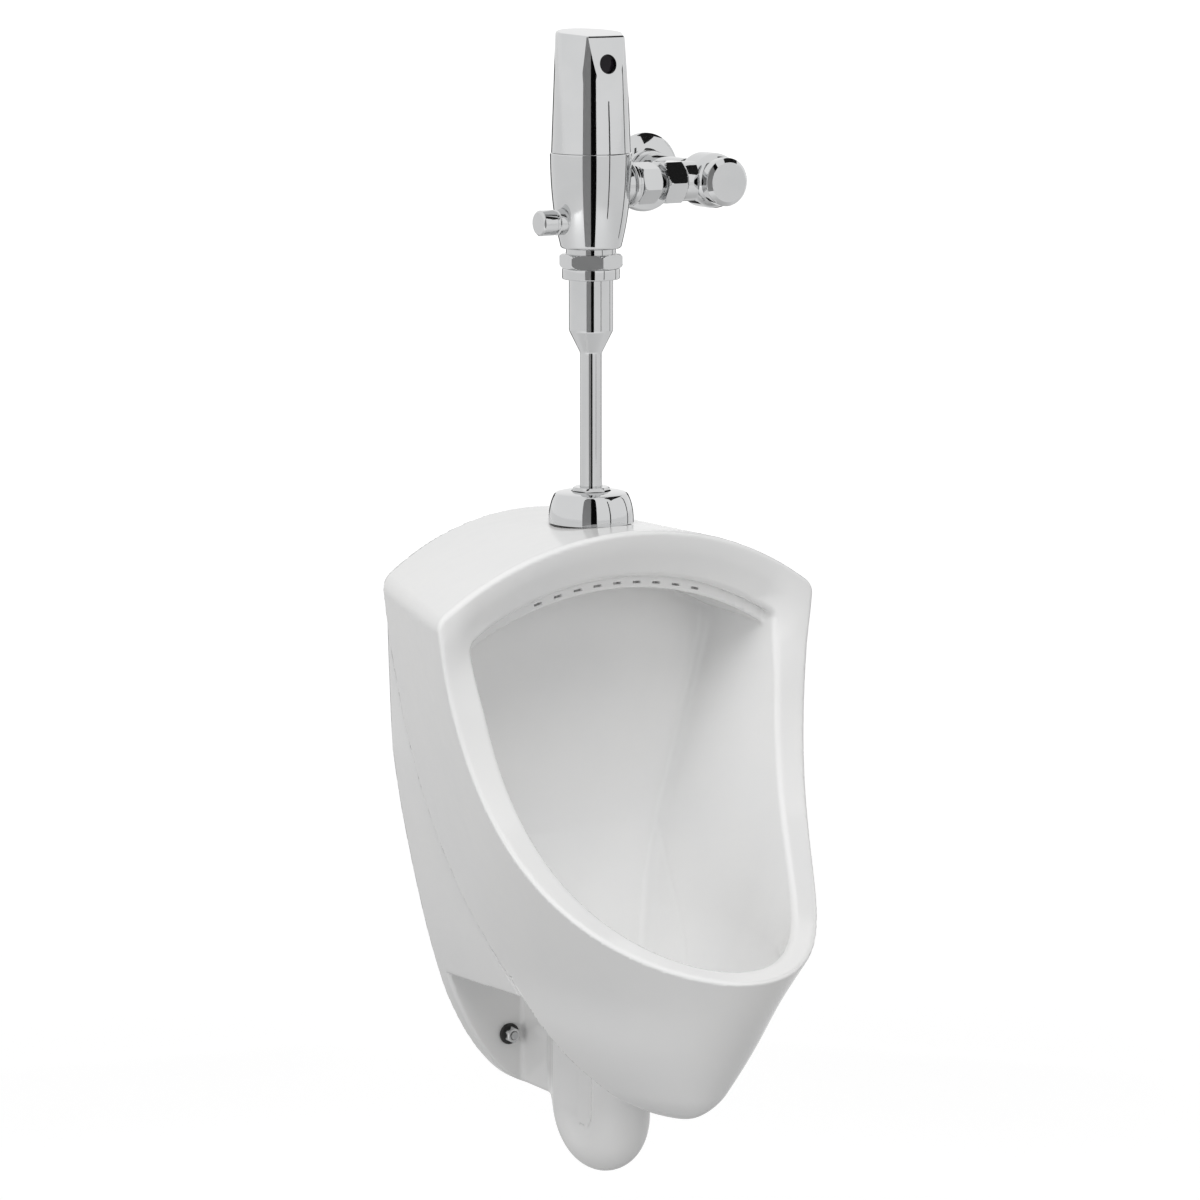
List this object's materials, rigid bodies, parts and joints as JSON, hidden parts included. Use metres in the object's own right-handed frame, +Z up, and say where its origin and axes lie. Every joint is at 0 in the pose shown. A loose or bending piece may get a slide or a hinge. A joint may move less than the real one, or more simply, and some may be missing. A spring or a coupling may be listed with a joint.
{
  "type": "wall urinal with sensor flush valve",
  "caption": "Wall-hung white china urinal with a top spud, an exposed chrome sensor flush valve with manual button, a supply stop and an outside trap.",
  "frame": {"origin": "centre of the waste outlet on the plane of the finished wall", "axes": "+X to the viewer's right, +Y into the wall, +Z up"},
  "size_m": [0.3828, 0.42, 1.0012],
  "materials": {
    "china": "glossy white glaze",
    "chrome": "polished chrome plate",
    "steel": "satin stainless or zinc-plated steel",
    "brass": "machined brass",
    "rubber": "matte black rubber",
    "plastic": "moulded dark grey plastic",
    "window": "dark infrared window",
    "battery_wrap": "plain printed wrap"
  },
  "bodies": {
    "fixture": {"urinal_body": "china", "bolt_nuts": "chrome", "spud_escutcheon": "chrome", "spud_coupling_nut": "chrome", "flush_tube": "chrome", "outlet_coupling_nut": "chrome", "valve_body": "chrome", "tailpiece": "chrome", "tail_coupling_nut": "chrome", "stop_body": "chrome", "cover_tube": "chrome", "wall_flange": "chrome", "drain_strainer": "steel", "wall_hangers": "steel", "wall_bolts": "steel", "tail_lock_ring": "steel", "flange_screw": "steel", "inlet_spud": "brass", "spud_locknut": "brass", "outlet_flange": "brass", "main_seat": "brass", "stop_bonnet": "brass", "spud_gasket": "rubber", "outlet_gasket": "rubber", "bolt_washers": "rubber", "spud_slip_gasket": "rubber", "vacuum_breaker_sleeve": "rubber", "bonnet_o_ring": "rubber", "button_seal": "rubber", "tail_o_ring": "rubber", "vacuum_breaker_body": "plastic", "bonnet": "plastic", "solenoid_coil": "plastic", "sensor_module": "plastic", "battery_holder": "plastic", "sensor_window": "window", "battery": "battery_wrap"},
    "lifting_cover": {"sensor_cover": "chrome", "cover_screw": "steel"},
    "button": {"override_button": "chrome"},
    "piston": {"flush_piston": "plastic", "piston_seal": "rubber", "piston_cup_seal": "rubber"},
    "plunger": {"solenoid_plunger": "steel"},
    "spindle": {"stop_spindle": "brass"},
    "stop_valve": {"stop_plunger": "brass", "stop_seal": "rubber"},
    "cap": {"stop_cap": "chrome"}
  },
  "joints": [
    {"name": "cover_lift", "type": "slide", "parent": "fixture", "child": "lifting_cover", "axis": [0, 0, 1], "range_m": [0, 0.11]},
    {"name": "button_press", "type": "slide", "parent": "fixture", "child": "button", "axis": [1, 0, 0], "range_m": [0, 0.006], "stiffness_N_per_m": 700},
    {"name": "piston_lift", "type": "slide", "parent": "fixture", "child": "piston", "axis": [0, 0, 1], "range_m": [0, 0.009]},
    {"name": "plunger_lift", "type": "slide", "parent": "fixture", "child": "plunger", "axis": [0, 0, 1], "range_m": [0, 0.003], "stiffness_N_per_m": 150},
    {"name": "spindle_turn", "type": "hinge", "parent": "fixture", "child": "spindle", "pos_m": [0.12065, -0.106, 0.716], "axis": [0, -1, 0], "range_deg": [0, 1080]},
    {"name": "stop_valve_slide", "type": "slide", "parent": "fixture", "child": "stop_valve", "axis": [0, -1, 0], "range_m": [0, 0.007]},
    {"name": "cap_pull", "type": "slide", "parent": "fixture", "child": "cap", "axis": [0, -1, 0], "range_m": [0, 0.02]}
  ],
  "couplings": [
    {"joint": "stop_valve_slide", "follows": "spindle_turn", "m_per_rad": 0.0003713}
  ]
}
